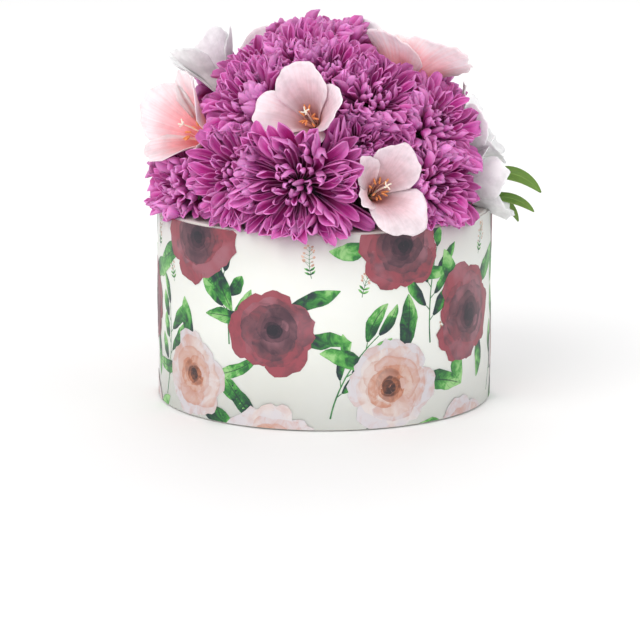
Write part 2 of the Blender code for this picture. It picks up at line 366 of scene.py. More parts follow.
def build_mum(name, size, settings, places, shells):
    """Many-petalled head: spiral of petals, short and curled inside, long and open outside."""
    rng = random.Random(name)
    planes = cell_planes(name, size, places)
    cups = cups_near(name, places, shells)
    place = axes_of(*head_axis(name, places), rng.uniform(0, 6.28))
    bm = start_mesh()
    reach = settings.reach * size
    count = int(settings.petals * (0.70 + 0.30 * size))
    for index in range(count):
        t = index / (count - 1)
        angle = index * GOLDEN_ANGLE + rng.uniform(-0.16, 0.16)
        ray = Vector((math.cos(angle), math.sin(angle), 0))
        polar = math.radians(3 + 109 * t ** 0.78) + rng.uniform(-0.09, 0.09)
        root = math.radians(8 + 96 * t ** 0.9)
        start = Vector((math.sin(root), math.cos(root))) * reach * 0.30
        far = reach * (0.60 + 0.40 * smoothstep(polar / 1.30)) * rng.uniform(0.84, 1.06)
        incurve = rng.uniform(-20, 26)
        size_share = smoothstep((t + 0.04) / 0.58)
        width = (1.30 + 2.55 * size_share) * MM * size ** 0.5 * rng.uniform(0.80, 1.20)
        sweep = rng.uniform(-0.26, 0.26)
        for step in range(TRIES):
            tip = Vector((math.sin(polar), math.cos(polar))) * far
            outer = polar + math.radians(34 - 54 * t + incurve)
            control = start + Vector((math.sin(outer), math.cos(outer))) * far * 0.46
            line = (start, control, tip)
            paths = petal_paths(line, ray, width, sweep, place)
            is_clear = all(fits(spot, planes, cups) for spot in paths[0][1:])
            if is_clear and not any(pierces(path, cups) for path in paths):
                break
            polar = max(0.05, polar - math.radians(5))
            far *= 0.985
        else:
            continue
        cup = 1.0 - 0.45 * t + rng.uniform(-0.15, 0.25)
        twist = rng.uniform(-0.60, 0.60) * (0.4 + t)
        sheet = [(vert, 1 - (1 - u) ** TIP_CROWD, v) for vert, u, v in new_sheet(bm, 7, 4)]
        bend_petal(sheet, line, width, cup, 1 - t, ray, place, twist, sweep)
        paint_sheet(bm, sheet, (t, rng.random(), step / (TRIES - 1)))
        if crosses(sheet, cups):
            bmesh.ops.delete(bm, geom=[vert for vert, _, _ in sheet], context="VERTS")
    return bm


def cup_axes(name, places):
    """Frame of a cup: its third axis is the one it opens along, and the second points up."""
    centre, axis = head_axis(name, places)
    right = Vector((0, 0, 1)).cross(axis).normalized()
    turn = Matrix((right, axis.cross(right), axis)).transposed().to_4x4()
    return Matrix.Translation(centre) @ turn


def petals_of(name):
    """The petals of a cup, as in CUP_PETALS."""
    if name in CUP_PETALS:
        return CUP_PETALS[name]
    rng = random.Random(name + "petals")
    count = 5 if name.startswith("white") else 4
    first = rng.uniform(0, 360)
    wide = 0.90 if name.startswith("white") else 1.0
    return [
        (
            first + 360 * index / count + rng.uniform(-7, 7), 236 / count,
            rng.uniform(0.94, 1.10), rng.uniform(0.92, 1.06) * wide, rng.uniform(-1.0, 2.4) * wide,
        )
        for index in range(count)
    ]


def build_cup(name, size, lift, places):
    """Cup of broad overlapping petals with ruffled rims."""
    rng = random.Random(name + "cup")
    place = cup_axes(name, places)
    bm = start_mesh()
    petals = petals_of(name)
    flare = flare_of(name)
    for index, (side, half_width, long, wide, curl) in enumerate(petals):
        turn = math.radians(side)
        half = math.radians(half_width)
        phase = [rng.uniform(0, 6.28) for _ in range(5)]
        sheet = new_sheet(bm, 22, 20)
        for vert, u, v in sheet:
            notch = 0.025 * math.cos(7 * v + phase[0])
            w = u * (1 - 0.34 * abs(v) ** 2.7 + notch)
            around = turn + half * v * (1 - 0.16 * w ** 3)
            ruffle = w ** 4
            radius = CUP_THROAT + CUP_RADIUS * wide * w ** flare + 0.9 * v * (0.3 + 0.7 * w)
            radius += 0.55 * math.sin(8 * v + phase[4]) * w * w * (1.2 - w)
            radius += ruffle * (0.8 * math.sin(9 * around + phase[1]) + 0.5 * math.sin(19 * around))
            height = CUP_DEPTH * long * w ** CUP_RISE - CUP_FOOT
            height += ruffle * 0.8 * math.sin(7 * around + phase[2])
            height += ruffle * 0.45 * math.sin(23 * around + phase[3])
            bend = max(0.0, w - 0.62) / 0.38
            radius += curl * bend * bend
            height -= 1.1 * curl * bend * bend
            height -= lift / MM * max(0.0, 1 - 3 * w)
            local = Vector((radius * math.cos(around), radius * math.sin(around), height))
            vert.co = place @ (local * size * MM)
        paint_sheet(bm, sheet, (index / len(petals), rng.random(), 0))
    return bm


def cup_shells(places):
    """Search tree of each cup's petals, to find what runs through them."""
    shells = {}
    for name, _, _, size, lift in HEADS:
        if not name.startswith("mum"):
            bm = build_cup(name, size, lift, places)
            shells[name] = BVHTree.FromBMesh(bm)
            bm.free()
    return shells


def add_rod(bm, start, end, thick, thin, sides, shade, slot, place, bow=0.0):
    """Tapered stalk from start to end, bowed sideways."""
    run = end - start
    grid = new_sheet(bm, 6, sides)
    frame_axes = run.to_track_quat("Z", "Y").to_matrix()
    for vert, u, v in grid:
        angle = math.pi * v
        wide = thick * (1 - u) + thin * u
        ring = Vector((math.cos(angle) * wide, math.sin(angle) * wide, 0))
        arc = frame_axes @ Vector((bow * math.sin(math.pi * u), 0, 0))
        vert.co = place @ ((start + run * u + frame_axes @ ring + arc) * MM)
    bmesh.ops.remove_doubles(bm, verts=[vert for vert, _, _ in grid], dist=1e-6)
    kept = [(vert, u, v) for vert, u, v in grid if vert.is_valid]
    paint_sheet(bm, kept, shade)
    for vert, _, _ in kept:
        for face in vert.link_faces:
            face.material_index = slot


def add_bead(bm, at, radii, shade, slot, place, turn):
    made = bmesh.ops.create_uvsphere(bm, u_segments=8, v_segments=6, radius=1)["verts"]
    tone = bm.verts.layers.float_vector["shade"]
    stretch = Matrix.Diagonal((*radii, 1))
    for vert in made:
        vert.co = place @ ((at + (turn @ stretch @ vert.co)) * MM)
        vert[tone] = shade
        for face in vert.link_faces:
            face.material_index = slot


def build_stamens(name, size, lift, places):
    """Orange anthers on thin stalks round a pale pistil with a split tip, and the green calyx."""
    rng = random.Random(name + "stamens")
    place = cup_axes(name, places)
    bm = start_mesh()
    for index in range(9):
        angle = 2 * math.pi * index / 9 + rng.uniform(-0.2, 0.2)
        out = rng.uniform(3.0, 6.2) * size
        high = rng.uniform(6.0, 11.5) * size
        foot = STAMEN_FOOT + Vector((1.6 * math.cos(angle), 1.6 * math.sin(angle), 0))
        head = Vector((out * math.cos(angle), out * math.sin(angle), high))
        add_rod(bm, foot, head, 0.30, 0.22, 6, (0.2, rng.random(), 0), 0, place, 0.8)
        lean = Matrix.Rotation(angle, 4, "Z") @ Matrix.Rotation(rng.uniform(0.7, 1.5), 4, "Y")
        add_bead(bm, head, (0.62, 0.55, 1.9), (0.8, rng.random(), 0), 1, place, lean)
    top = Vector((1.2, 0.4, 17.0 * size))
    add_rod(bm, STAMEN_FOOT, top, 0.55, 0.42, 8, (0.5, 0.5, 0), 2, place, 0.5)
    for index in range(4):
        angle = math.pi / 2 * index + 0.4
        arm = top + Vector((1.9 * math.cos(angle), 1.9 * math.sin(angle), 1.5))
        add_rod(bm, top, arm, 0.46, 0.34, 6, (0.5, 0.5, 0), 2, place, 0.2)
        add_bead(bm, arm, (0.42, 0.42, 0.42), (0.5, 0.5, 0), 2, place, Matrix.Identity(4))
    foot = Vector((0, 0, -size * (CUP_FOOT + lift / MM)))
    root = foot - Vector((0, 0, CALYX_LENGTH))
    collar = foot + Vector((0, 0, 0.3))
    add_rod(bm, root, collar, 1.5, 2.7 * size, 12, (0.5, 0.5, 0), 3, place)
    return bm


def build_leaf(azimuth, start, middle, tip, half_width, roll):
    """Pointed leaf folded along its midrib, arching from under the flowers."""
    bm = start_mesh()
    sheet = new_sheet(bm, 20, 8)
    turn = Matrix.Rotation(math.radians(azimuth - 90), 4, "Z")
    line = [Vector(point) for point in (start, middle, tip)]
    for vert, u, v in sheet:
        point, run = along_curve(line, u)
        facing = Vector((-run.y, run.x))
        half = half_width * (0.06 + 1.10 * (u + 0.02) ** 0.7 * max(0.0, 1 - u ** 2.0) ** 0.90)
        slope = math.radians(roll) * smoothstep(1.6 * u)
        deep = half * (0.40 * abs(v) - 0.20 * v * v) + 0.3 * math.sin(9 * u) * v
        across = half * v * math.cos(slope) - deep * math.sin(slope)
        lift = half * v * math.sin(slope) + deep * math.cos(slope)
        flat = point + facing * lift
        vert.co = turn @ (Vector((flat.x, across, flat.y)) * MM)
    paint_sheet(bm, sheet, (0.5, (azimuth % 7) / 7, 0))
    return bm


# Shapes of the print.


def on_side(across, up, layer):
    """Point on the cake's side from millimetres round it and up it, a hair above the sheet."""
    radius = WRAP_RADIUS + (0.02 + 0.010 * layer) * MM
    angle = across * MM / WRAP_RADIUS
    return Vector((radius * math.sin(angle), -radius * math.cos(angle), up * MM))


def step_from(spot, reach, angle):
    """Point at a distance from spot in a direction."""
    return spot[0] + reach * math.cos(angle), spot[1] + reach * math.sin(angle)


def own_shade(rng):
    return rng.random(), rng.random(), rng.random()


def wobble(x, y, seed, strength):
    return strength * noise.noise(Vector((x, y, seed)))


def print_petal(bm, spot, reach, turn, half, layer, shade):
    """One painted petal: a rounded lobe of a disc with an uneven edge."""
    sheet = new_sheet(bm, 8, 10)
    seed = shade[1] * 90 + layer
    for vert, u, v in sheet:
        edge = 1 - 0.20 * abs(v) ** 3.4 + wobble(3.2 * v, 1.7, seed, 0.12)
        edge += wobble(11 * v, 5.1, seed, 0.025)
        far = reach * u * edge
        angle = turn + half * v * (0.86 + 0.14 * u) + wobble(2 * u, v, seed, 0.06)
        vert.co = on_side(*step_from(spot, far, angle), layer)
    paint_sheet(bm, sheet, shade)


# Rings of a painted bloom: share of its radius, petals, and how far they stray from its middle.
BLOOM_RINGS = [
    (1.00, 7, 0.0), (0.84, 5, 0.05), (0.66, 5, 0.07), (0.50, 4, 0.08), (0.34, 3, 0.06),
    (0.23, 3, 0.04), (0.15, 3, 0.03),
]


def print_bloom(bm, spot, size, rng):
    """Painted bloom of rings of petals that shrink towards its middle, with one paler lobe."""
    layer = 14
    heart = (spot[0] + size * rng.uniform(-0.1, 0.1), spot[1] + size * rng.uniform(-0.08, 0.08))
    for ring, (share, petals, stray) in enumerate(BLOOM_RINGS):
        first = rng.uniform(0, 6.28)
        blend = ring / 6
        middle = [spot[i] + (heart[i] - spot[i]) * blend for i in (0, 1)]
        for index in range(petals):
            turn = first + 2 * math.pi * index / petals + rng.uniform(-0.2, 0.2)
            reach = size * share * rng.uniform(0.86, 1.10)
            half = math.pi / petals * rng.uniform(1.2, 1.6)
            place = [value + size * rng.uniform(-stray, stray) for value in middle]
            shade = (ring / 6, rng.random(), rng.random())
            print_petal(bm, place, reach, turn, half, layer, shade)
            layer += 1
        if ring == 4:
            side = rng.uniform(-0.6, 0.9)
            shade = (0.34, rng.random(), rng.random())
            lobe = step_from(heart, size * 0.17, side)
            print_petal(bm, lobe, size * 0.20, side, 0.95, layer, shade)
            layer += 1


def bent_point(spot, angle, length, bend, u):
    """Point at u on a painted line that starts at spot and bends, and its heading there."""
    turn = angle + bend * u / 2
    return step_from(spot, length * u, turn), angle + bend * u


def print_strip(bm, cells, half_of, spot, angle, length, layer, shade, bend):
    """Painted strip along a bent line. half_of gives its half width at u and v."""
    sheet = new_sheet(bm, *cells)
    for vert, u, v in sheet:
        half = half_of(u, v)
        (x, y), heading = bent_point(spot, angle, length, bend, u)
        vert.co = on_side(x - half * v * math.sin(heading), y + half * v * math.cos(heading), layer)
    paint_sheet(bm, sheet, shade)


def print_leaf(bm, spot, angle, length, width, layer, shade, bend):
    """Painted leaf from its foot at spot, with a bent middle line and an uneven edge."""
    def half_of(u, v):
        half = width * (0.04 + 1.45 * (u + 0.02) ** 0.75 * max(0.0, 1 - u ** 1.7) ** 0.95)
        return half * (1 + wobble(4 * u, 2 * v, shade[1] * 70, 0.34))

    print_strip(bm, (10, 4), half_of, spot, angle, length, layer, shade, bend)


def print_stem(bm, spot, angle, length, width, layer, shade, bend):
    """Painted stem as a thin ribbon. Returns its points and headings."""
    def half_of(u, v):
        return width * (1 - 0.45 * u) * (1 + wobble(9 * u, v, shade[1] * 50, 0.35))

    print_strip(bm, (12, 2), half_of, spot, angle, length, layer, shade, bend)
    return [bent_point(spot, angle, length, bend, step / 8) for step in range(1, 9)]


def print_dot(bm, spot, size, layer, shade):
    made = bmesh.ops.create_circle(bm, cap_ends=True, cap_tris=True, segments=9, radius=1)["verts"]
    tone = bm.verts.layers.float_vector["shade"]
    for vert in made:
        uneven = size * (1 + wobble(vert.co.x * 2, vert.co.y * 2, shade[1] * 40, 0.5))
        vert.co = on_side(spot[0] + vert.co.x * uneven, spot[1] + vert.co.y * uneven, layer)
        vert[tone] = shade


def print_layout(settings):
    """Where each painted motif goes: blooms in a half-drop repeat, with greenery between them."""
    rng = random.Random(settings.seed)
    pitch = 2 * math.pi * WRAP_RADIUS / MM / settings.columns
    blooms = []
    for column in range(settings.columns):
        x = (column - 0.42) * pitch + rng.uniform(-3, 3)
        rows = [(49, "burgundy"), (-12, "blush")]
        if column % 2:
            rows = [(24, "blush"), (91, "burgundy")]
        for y, kind in rows:
            spot = (x + rng.uniform(-2, 2) + (6 if y > 80 else 0), y + rng.uniform(-3, 3))
            blooms.append((kind, spot, rng.uniform(21.5, 25)))
    return pitch, blooms


def build_print(settings):
    """Every painted motif, as one mesh for each kind."""
    pitch, blooms = print_layout(settings)
    rng = random.Random(settings.seed + 1)
    meshes = {kind: start_mesh() for kind in ("burgundy", "blush", "leaves", "stems", "buds")}
    for kind, spot, size in blooms:
        print_bloom(meshes[kind], spot, size, rng)
        first = rng.uniform(0, 6.28)
        for index in range(4):
            angle = first + index * 1.7 + rng.uniform(-0.4, 0.4)
            foot = step_from(spot, size * 0.66, angle)
            shade = own_shade(rng)
            lean = angle + rng.uniform(-0.9, 0.9)
            print_leaf(
                meshes["leaves"], foot, lean, rng.uniform(21, 31), rng.uniform(5.0, 7.4),
                6 + index, shade, rng.uniform(-0.9, 0.9),
            )
    for column in range(settings.columns):
        x = (column + 0.08) * pitch
        low = column % 2 == 1
        foot = (x + rng.uniform(-2, 2), 40 if low else 6)
        angle = math.pi / 2 + rng.uniform(-0.35, 0.35)
        stem = own_shade(rng)
        bend = rng.uniform(-0.7, 0.7)
        stops = print_stem(meshes["stems"], foot, angle, 44, 0.42, 2, stem, bend)
        for index, (spot, heading) in enumerate(stops[1:]):
            side = 1 if index % 2 else -1
            shade = own_shade(rng)
            twig = heading + side * rng.uniform(0.5, 1.0)
            if index == 6:
                twig = heading
            short = print_stem(meshes["stems"], spot, twig, 3.5, 0.30, 2, stem, 0)
            print_leaf(
                meshes["leaves"], short[-1][0], twig, rng.uniform(12, 21), rng.uniform(3.2, 5.4),
                3 + index % 2, shade, -side * rng.uniform(0.1, 0.8),
            )
    for column in range(2 * settings.columns):
        x = (column * 0.5 + 0.33) * pitch + rng.uniform(-3, 3)
        y = (66, 14, 34, 78)[column % 4] + rng.uniform(-3, 3)
        angle = math.pi / 2 + rng.uniform(-0.4, 0.4)
        green = own_shade(rng)
        bend = rng.uniform(-0.5, 0.5)
        stops = print_stem(meshes["stems"], (x, y), angle, 15, 0.16, 4, green, bend)
        for index, (spot, heading) in enumerate(stops):
            if index < 2:
                for side in (-1, 1):
                    print_leaf(meshes["leaves"], spot, heading + side, 3.2, 0.8, 4, green, 0)
                continue
            for side in (-1, 1):
                twig = heading + side * rng.uniform(0.5, 1.2)
                long = rng.uniform(1.6, 4.2) * (1.25 - index / 12)
                print_stem(meshes["stems"], spot, twig, long, 0.10, 4, green, 0)
                for _ in range(2):
                    shade = own_shade(rng)
                    end = step_from(spot, long * rng.uniform(0.7, 1.1), twig)
                    at = [value + rng.uniform(-0.4, 0.4) for value in end]
                    print_dot(meshes["buds"], at, rng.uniform(0.35, 0.62), 5, shade)
    for bm in meshes.values():
        for level, way in ((WRAP_BOTTOM, -1), (WRAP_TOP, 1)):
            bmesh.ops.bisect_plane(
                bm,
                geom=bm.verts[:] + bm.edges[:] + bm.faces[:],
                plane_co=(0, 0, level),
                plane_no=(0, 0, way),
                clear_outer=True,
            )
    return meshes


# Materials.

COLOUR, NUMBER = "NodeSocketColor", "NodeSocketFloat"


def set_inputs(node, values):
    """Links or sets a node's inputs. A colour that is set is given as three numbers."""
    for key, value in values.items():
        socket = node.inputs[key]
        if isinstance(value, bpy.types.NodeSocket):
            node.id_data.links.new(value, socket)
        else:
            socket.default_value = (*value, 1) if socket.type == "RGBA" else value


def add_node(tree, kind, values=None, **settings):
    made = tree.nodes.new(kind)
    for key, value in settings.items():
        setattr(made, key, value)
    set_inputs(made, values or {})
    return made


def mixed(tree, share, first, second, blend="MIX"):
    """Colour socket of first and second mixed by share."""
    values = {0: share, 6: first, 7: second}
    return add_node(tree, "ShaderNodeMix", values, data_type="RGBA", blend_type=blend).outputs[2]


def sums(tree, kind, first, second=0.0, third=0.0, clamp=False):
    values = {0: first, 1: second, 2: third}
    return add_node(tree, "ShaderNodeMath", values, operation=kind, use_clamp=clamp).outputs[0]


def times(tree, first, *others):
    for other in others:
        first = sums(tree, "MULTIPLY", first, other)
    return first


def ranged(tree, value, low, high, start=0.0, end=1.0, kind="SMOOTHSTEP"):
    values = {0: value, 1: low, 2: high, 3: start, 4: end}
    return add_node(tree, "ShaderNodeMapRange", values, interpolation_type=kind).outputs[0]


def ramp(tree, value, stops):
    made = add_node(tree, "ShaderNodeValToRGB", {0: value})
    band = made.color_ramp
    while len(band.elements) < len(stops):
        band.elements.new(0.5)
    for element, (place, colour) in zip(band.elements, stops):
        element.position = place
        element.color = (*colour, 1)
    return made.outputs[0]


def noisy(tree, where, scale, detail=3.0, rough=0.55, twist=0.0):
    return add_node(tree, "ShaderNodeTexNoise", {
        "Vector": where, "Scale": scale, "Detail": detail, "Roughness": rough, "Distortion": twist,
    }).outputs["Fac"]


def spot_of(tree):
    """Socket of the point's place on the object."""
    return add_node(tree, "ShaderNodeTexCoord").outputs["Object"]


def shade_parts(tree):
    """Sockets of a petal's u, v from -1 to 1, its ring and its own two random numbers."""
    paint = add_node(tree, "ShaderNodeUVMap", uv_map="petal")
    split = add_node(tree, "ShaderNodeSeparateXYZ", {0: paint.outputs[0]})
    tone = add_node(tree, "ShaderNodeAttribute", attribute_name="shade")
    own = add_node(tree, "ShaderNodeSeparateXYZ", {0: tone.outputs["Vector"]})
    across = sums(tree, "MULTIPLY_ADD", split.outputs[1], 2.0, -1.0)
    return split.outputs[0], across, *own.outputs


def edge_of(tree, along, across):
    """How near a point is to a petal's edge: 1 on it."""
    return sums(tree, "MAXIMUM", sums(tree, "ABSOLUTE", across), along)


def group_of(name, inputs, outputs):
    """A new node group with its inputs and outputs, and its two end nodes."""
    tree = bpy.data.node_groups.new(name, "ShaderNodeTree")
    for way, sockets in (("INPUT", inputs), ("OUTPUT", outputs)):
        for label, kind in sockets:
            tree.interface.new_socket(label, in_out=way, socket_type=kind)
    return tree, tree.nodes.new("NodeGroupInput").outputs, tree.nodes.new("NodeGroupOutput")


def place_group(tree, name, build, values):
    """Outputs of a group placed in a material with its own values. Its first use builds it."""
    group = bpy.data.node_groups.get(name) or build(name)
    return add_node(tree, "ShaderNodeGroup", values, node_tree=group).outputs


def petal_group(name):
    """Node group that paints a petal from its foot to its rim, with veins and a soft relief.
    A mum's dark foot is partly painted shade, and every pale rim is partly painted highlight.
    """
    inputs = [(label, COLOUR) for label in ("Foot", "Middle", "Tip", "Rim")]
    inputs += [(label, NUMBER) for label in ("Foot length", "Vein depth", "Vein scale")]
    tree, given, end = group_of(name, inputs, [("Color", COLOUR), ("Height", NUMBER)])
    along, across, _, own, _ = shade_parts(tree)
    # Towards its foot the petal takes the foot colour, which on the mums is partly painted shade in
    # the crevices at a head's heart.
    reach = ranged(tree, along, 0.0, given["Foot length"])
    body = mixed(tree, reach, given["Foot"], given["Middle"])
    body = mixed(tree, ranged(tree, along, 0.55, 1.0), body, given["Tip"])
    fan = add_node(tree, "ShaderNodeCombineXYZ", {
        0: times(tree, across, given["Vein scale"]), 1: times(tree, along, 1.3),
        2: times(tree, own, 37.0),
    })
    veins = noisy(tree, fan.outputs[0], 1.0, 4.0, 0.6)
    depth = times(tree, given["Vein depth"], ranged(tree, veins, 0.36, 0.64))
    body = mixed(tree, depth, body, given["Foot"])
    # Paler rim: partly the petals' own paler edges, partly painted highlight on their rolled edges.
    rim = ranged(tree, edge_of(tree, along, across), 0.60, 1.0, 0.0, 0.50)
    body = mixed(tree, rim, body, given["Rim"])
    blotch = noisy(tree, spot_of(tree), 130.0)
    tone = sums(
        tree, "ADD", ranged(tree, own, 0.0, 1.0, 0.80, 1.16, "LINEAR"),
        ranged(tree, blotch, 0.3, 0.7, -0.12, 0.12),
    )
    set_inputs(end, {"Color": mixed(tree, 1.0, body, tone, "MULTIPLY"), "Height": veins})
    return tree


def mottle_group(name):
    """Node group that mottles a surface between two colours."""
    inputs = [("Low", COLOUR), ("High", COLOUR), ("Scale", NUMBER), ("Detail", NUMBER)]
    tree, given, end = group_of(name, inputs, [("Color", COLOUR), ("Height", NUMBER)])
    grain = noisy(tree, spot_of(tree), given["Scale"], given["Detail"])
    share = ranged(tree, grain, 0.35, 0.65, kind="LINEAR")
    set_inputs(end, {"Color": mixed(tree, share, given["Low"], given["High"]), "Height": grain})
    return tree


def vein_group(name):
    """Node group of a leaf's veins: the way from the midrib, and waves that are high on a vein."""
    inputs = [("Count", NUMBER), ("Slant", NUMBER)]
    tree, given, end = group_of(name, inputs, [("Side", NUMBER), ("Waves", NUMBER)])
    along, across, *_ = shade_parts(tree)
    side = sums(tree, "ABSOLUTE", across)
    slant = times(tree, side, given["Slant"])
    rows = sums(tree, "SUBTRACT", times(tree, along, given["Count"]), slant)
    waves = sums(tree, "ABSOLUTE", sums(tree, "SUBTRACT", sums(tree, "FRACT", rows), 0.5))
    set_inputs(end, {"Side": side, "Waves": waves})
    return tree


def icing_group(name):
    """Node group of smooth icing: faint clouds of two colours and a slightly uneven shine."""
    inputs = [("Light", COLOUR), ("Deep", COLOUR)]
    outputs = [("Color", COLOUR), ("Roughness", NUMBER), ("Height", NUMBER)]
    tree, given, end = group_of(name, inputs, outputs)
    where = spot_of(tree)
    cloud = noisy(tree, where, 22.0, 4.0)
    fine = noisy(tree, where, 900.0)
    set_inputs(end, {
        "Color": mixed(tree, ranged(tree, cloud, 0.3, 0.7), given["Deep"], given["Light"]),
        "Roughness": ranged(tree, fine, 0.3, 0.7, 0.34, 0.46),
        "Height": sums(tree, "ADD", cloud, times(tree, fine, 0.12)),
    })
    return tree


def bloom_group(name):
    """Node group of a painted bloom's masks: its rings, thin washes, pools and broken rims."""
    outputs = [(label, NUMBER) for label in ("Rings", "Wash", "Pool", "Line")]
    tree, given, end = group_of(name, [("Bleed scale", NUMBER)], outputs)
    along, across, ring, own, extra = shade_parts(tree)
    where = spot_of(tree)
    cloud = noisy(tree, where, given["Bleed scale"], 5.0, 0.62, 0.9)
    wide = noisy(tree, where, 70.0, 2.0)
    thinner = ranged(tree, own, 0.25, 1.0, 0.1, 0.75)
    outer = ranged(tree, ring, 0.45, 0.85, 1.0, 0.0)
    uneven = ranged(tree, cloud, 0.4, 0.7, -0.25, 0.3)
    pool = sums(tree, "ADD", ranged(tree, along, 0.90, 0.40, 0.0, 0.8), uneven)
    pool = sums(tree, "MULTIPLY", pool, ranged(tree, extra, 0.0, 1.0, 0.15, 0.75), clamp=True)
    edge = ranged(tree, edge_of(tree, along, across), 0.86, 0.98)
    set_inputs(end, {
        "Rings": sums(tree, "ADD", ring, ranged(tree, cloud, 0.32, 0.68, -0.13, 0.16)),
        "Wash": times(tree, ranged(tree, wide, 0.38, 0.66), thinner, outer),
        "Pool": times(
            tree, pool, ranged(tree, ring, 0.0, 0.25, 0.35, 1.0),
            ranged(tree, ring, 0.74, 0.94, 1.0, 0.0),
        ),
        "Line": times(
            tree, edge, ranged(tree, cloud, 0.42, 0.56), ranged(tree, ring, 0.0, 0.35, 0.10, 0.40),
        ),
    })
    return tree


def new_material(name):
    """A material, its tree and its surface shader."""
    made = bpy.data.materials.new(name)
    made.use_nodes = True
    return made, made.node_tree, made.node_tree.nodes["Principled BSDF"]


def chosen(piece):
    """Colour that the settings give a piece."""
    return tuple(getattr(bpy.context.scene.floral_cake.colours, piece))


def bump(tree, height, strength, distance):
    values = {"Height": height, "Strength": strength, "Distance": distance}
    return add_node(tree, "ShaderNodeBump", values).outputs[0]


# Of each petal: the colours of its foot, tip and rim, how far its foot's colour reaches, the depth
# and scale of its veins, how much light passes into it, and how far each colour of light gets.
# The rim colours are partly the petals' own paler edges and partly painted highlight on their
# rolled edges.
PETALS = {
    # The mums' dark foot colours, on faces and backs, are partly their own deep base and partly
    # painted shade in the crevices at a head's heart.
    "mum": (
        (0.16, 0.003, 0.062), (0.62, 0.110, 0.45), (0.71, 0.25, 0.57), 0.62, 0.30, 5.0,
        0.4, (1.0, 0.45, 0.55),
    ),
    "mum_back": (
        (0.31, 0.022, 0.18), (0.66, 0.19, 0.52), (0.75, 0.33, 0.63), 0.5, 0.16, 5.0,
        0.4, (1.0, 0.45, 0.55),
    ),
    "blush": (
        (0.54, 0.18, 0.15), (0.91, 0.71, 0.78), (0.95, 0.83, 0.88), 0.58, 0.16, 16.0,
        0.4, (1.0, 0.80, 0.84),
    ),
    "coral": (
        (0.90, 0.13, 0.13), (0.96, 0.70, 0.76), (0.97, 0.84, 0.87), 0.84, 0.30, 15.0,
        0.6, (1.0, 0.74, 0.78),
    ),
    "white": (
        (0.89, 0.90, 0.87), (0.96, 0.96, 0.97), (0.96, 0.96, 0.97), 0.22, 0.10, 16.0,
        0.15, (1.0, 0.98, 1.0),
    ),
}


def petal_material(kind):
    """Material of a kind of petal, made at its first use."""
    name = "petal_" + kind
    if name in bpy.data.materials:
        return bpy.data.materials[name]
    made, tree, surface = new_material(name)
    foot, tip, rim, length, depth, scale, passing, radius = PETALS[kind]
    painted = place_group(tree, "petal paint", petal_group, {
        "Foot": foot, "Middle": chosen(kind), "Tip": tip, "Rim": rim,
        "Foot length": length, "Vein depth": depth, "Vein scale": scale,
    })
    is_mum = kind.startswith("mum")
    set_inputs(surface, {
        "Base Color": painted["Color"], "Roughness": 0.48 if is_mum else 0.55,
        "Subsurface Weight": passing, "Subsurface Radius": radius,
        "Subsurface Scale": 0.001 if is_mum else 0.004, "Specular IOR Level": 0.30,
        "Normal": bump(tree, painted["Height"], 0.35, 0.0004),
    })
    return made


STAMENS = {
    "stalk": ((0.80, 0.42, 0.30), (0.90, 0.62, 0.50)),
    "anther": ((0.62, 0.17, 0.05), (0.88, 0.40, 0.14)),
    "pistil": ((0.84, 0.74, 0.60), (0.93, 0.88, 0.78)),
    "calyx": ((0.10, 0.20, 0.03), (0.22, 0.36, 0.08)),
}


def mottled(tree, low, high, scale, detail):
    values = {"Low": low, "High": high, "Scale": scale, "Detail": detail}
    return place_group(tree, "mottle", mottle_group, values)


def stamen_material(kind):
    """Smooth stalks, pistils and calyxes, and grainy anthers."""
    made, tree, surface = new_material("stamen_" + kind)
    grain = mottled(tree, *STAMENS[kind], 2400.0, 2.0)
    is_anther = kind == "anther"
    set_inputs(surface, {
        "Base Color": grain["Color"], "Roughness": 0.7 if is_anther else 0.45,
        "Subsurface Weight": 0.2, "Subsurface Scale": 0.001,
        "Normal": bump(tree, grain["Height"], 0.6 if is_anther else 0.2, 0.0002),
    })
    return made


def leaf_material():
    """Fresh green leaf with a pale midrib, side veins and rim."""
    made, tree, surface = new_material("leaf")
    veins = place_group(tree, "leaf veins", vein_group, {"Count": 11.0, "Slant": 3.0})
    side, waves = veins["Side"], veins["Waves"]
    body = ramp(tree, shade_parts(tree)[0], [
        (0.0, (0.045, 0.11, 0.012)), (0.35, chosen("leaf")), (0.9, (0.12, 0.23, 0.022)),
    ])
    lines = ranged(tree, waves, 0.40, 0.5, 0.0, 0.35)
    rib = ranged(tree, side, 0.03, 0.10, 0.9, 0.0)
    body = mixed(tree, sums(tree, "MAXIMUM", lines, rib), body, (0.19, 0.32, 0.055))
    speck = noisy(tree, spot_of(tree), 300.0, 4.0)
    body = mixed(tree, ranged(tree, speck, 0.35, 0.7, 0.0, 0.35), body, (0.07, 0.16, 0.014))
    body = mixed(tree, ranged(tree, side, 0.86, 1.0, 0.0, 0.5), body, (0.24, 0.35, 0.07))
    set_inputs(surface, {
        "Base Color": body, "Roughness": 0.36, "Subsurface Weight": 0.15,
        "Subsurface Scale": 0.0015,
        "Normal": bump(tree, sums(tree, "SUBTRACT", waves, rib), 0.25, 0.0004),
    })
    return made


def icing_material(name, deep):
    """Smooth ivory icing with faint clouding and a satin shine."""
    made, tree, surface = new_material(name)
    icing = place_group(tree, "icing", icing_group, {"Light": chosen(name), "Deep": deep})
    set_inputs(surface, {
        "Base Color": icing["Color"], "Roughness": icing["Roughness"], "Subsurface Weight": 0.15,
        "Subsurface Radius": (1.0, 0.8, 0.6), "Subsurface Scale": 0.003,
        "Normal": bump(tree, icing["Height"], 0.12, 0.0008),
    })
    return made


